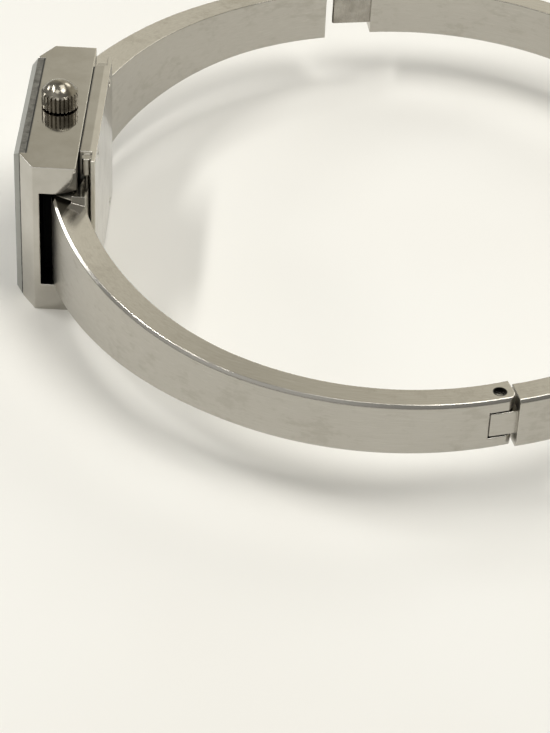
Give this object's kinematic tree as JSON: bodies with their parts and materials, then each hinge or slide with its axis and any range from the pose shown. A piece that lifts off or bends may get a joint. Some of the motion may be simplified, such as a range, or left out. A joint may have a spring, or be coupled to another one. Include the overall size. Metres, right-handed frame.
{
  "type": "bangle watch",
  "caption": "Slim rectangular wristwatch on a rigid oval bangle of flat steel bar, with hinged arms, a hinged back section and a tongue clasp.",
  "frame": {"origin": "middle of the bottom of the whole watch's box, as it lies on the nine o'clock side", "axes": "-X is the way the dial faces, +Y is towards twelve o'clock, +Z is towards the crown"},
  "size_m": [0.0614, 0.0638, 0.0163],
  "materials": {
    "case_steel": "polished stainless steel, fine satin on the end faces",
    "back_steel": "polished stainless steel",
    "band_steel": "satin outside, polished edges",
    "pin_steel": "ground steel",
    "crystal": "clear mineral glass, polished bevel",
    "seal": "black rubber",
    "dial": "satin silvered",
    "hands": "polished",
    "nickel": "nickel-plated brass",
    "brass": "gilt brass",
    "plastic": "moulded plastic",
    "cell": "bright nickel-plated can",
    "copper": "enamelled copper wire",
    "circuit": "green laminate"
  },
  "bodies": {
    "case": {"case_middle": "case_steel", "case_back": "back_steel", "back_gasket": "seal", "back_screws": "pin_steel", "crystal": "crystal", "crystal_gasket": "seal", "near_case_pin": "pin_steel", "far_case_pin": "pin_steel", "crown_seal": "seal", "dial": "dial", "hour_markers": "hands", "main_plate": "nickel", "movement_holder": "plastic", "train_bridge": "nickel", "button_cell": "cell", "cell_strap": "pin_steel", "motor_coil": "copper", "motor_stator": "nickel", "circuit_board": "circuit", "quartz_can": "cell"},
    "near_arm": {"near_arm": "band_steel", "hinge_pin": "pin_steel"},
    "far_arm": {"far_arm": "band_steel"},
    "back_section": {"back_section": "band_steel", "clasp_tongue": "pin_steel"},
    "clasp_spring": {"clasp_spring": "pin_steel"},
    "setting_pinion": {"setting_pinion": "pin_steel"},
    "crown": {"crown": "case_steel", "stem": "pin_steel"},
    "minute_hand": {"minute_hand": "hands", "cannon_pinion": "brass"},
    "hour_hand": {"hour_hand": "hands", "hour_wheel": "brass"},
    "minute_wheel": {"minute_wheel": "brass"},
    "third_wheel": {"third_wheel": "brass"},
    "motor_rotor": {"motor_rotor": "pin_steel"}
  },
  "joints": [
    {"name": "near_arm_hinge", "type": "hinge", "parent": "case", "child": "near_arm", "pos_m": [-0.02478, -0.007, 0.007], "axis": [0, 0, -1], "range_deg": [0, 26]},
    {"name": "far_arm_hinge", "type": "hinge", "parent": "case", "child": "far_arm", "pos_m": [-0.02478, 0.007, 0.007], "axis": [0, 0, 1], "range_deg": [0, 26]},
    {"name": "back_section_hinge", "type": "hinge", "parent": "near_arm", "child": "back_section", "pos_m": [0.00822, -0.02897, 0.007], "axis": [0, 0, -1], "range_deg": [-4, 75]},
    {"name": "clasp_spring_fold", "type": "hinge", "parent": "back_section", "child": "clasp_spring", "pos_m": [-0.00527, 0.02976, 0.007], "axis": [0, 0, 1], "range_deg": [0, 8]},
    {"name": "crown_turn", "type": "hinge", "parent": "case", "child": "setting_pinion", "pos_m": [-0.02766, 0, 0.014], "axis": [0, 0, 1], "continuous": true},
    {"name": "crown_pull", "type": "slide", "parent": "setting_pinion", "child": "crown", "axis": [0, 0, 1], "range_m": [0, 0.0008]},
    {"name": "minute_hand_turn", "type": "hinge", "parent": "case", "child": "minute_hand", "pos_m": [-0.02941, 0, 0.007], "axis": [1, 0, 0], "continuous": true},
    {"name": "hour_hand_turn", "type": "hinge", "parent": "case", "child": "hour_hand", "pos_m": [-0.02941, 0, 0.007], "axis": [1, 0, 0], "continuous": true},
    {"name": "minute_wheel_turn", "type": "hinge", "parent": "case", "child": "minute_wheel", "pos_m": [-0.02828, -0.00146, 0.00846], "axis": [1, 0, 0], "continuous": true},
    {"name": "third_wheel_turn", "type": "hinge", "parent": "case", "child": "third_wheel", "pos_m": [-0.02681, 0.00126, 0.00664], "axis": [1, 0, 0], "continuous": true},
    {"name": "motor_rotor_turn", "type": "hinge", "parent": "case", "child": "motor_rotor", "pos_m": [-0.02726, 0.00224, 0.00582], "axis": [1, 0, 0], "continuous": true}
  ],
  "couplings": [
    {"joint": "minute_wheel_turn", "follows": "minute_hand_turn", "ratio": -0.33333},
    {"joint": "hour_hand_turn", "follows": "minute_hand_turn", "ratio": 0.083333},
    {"joint": "third_wheel_turn", "follows": "minute_hand_turn", "ratio": -4},
    {"joint": "motor_rotor_turn", "follows": "minute_hand_turn", "ratio": 24}
  ]
}
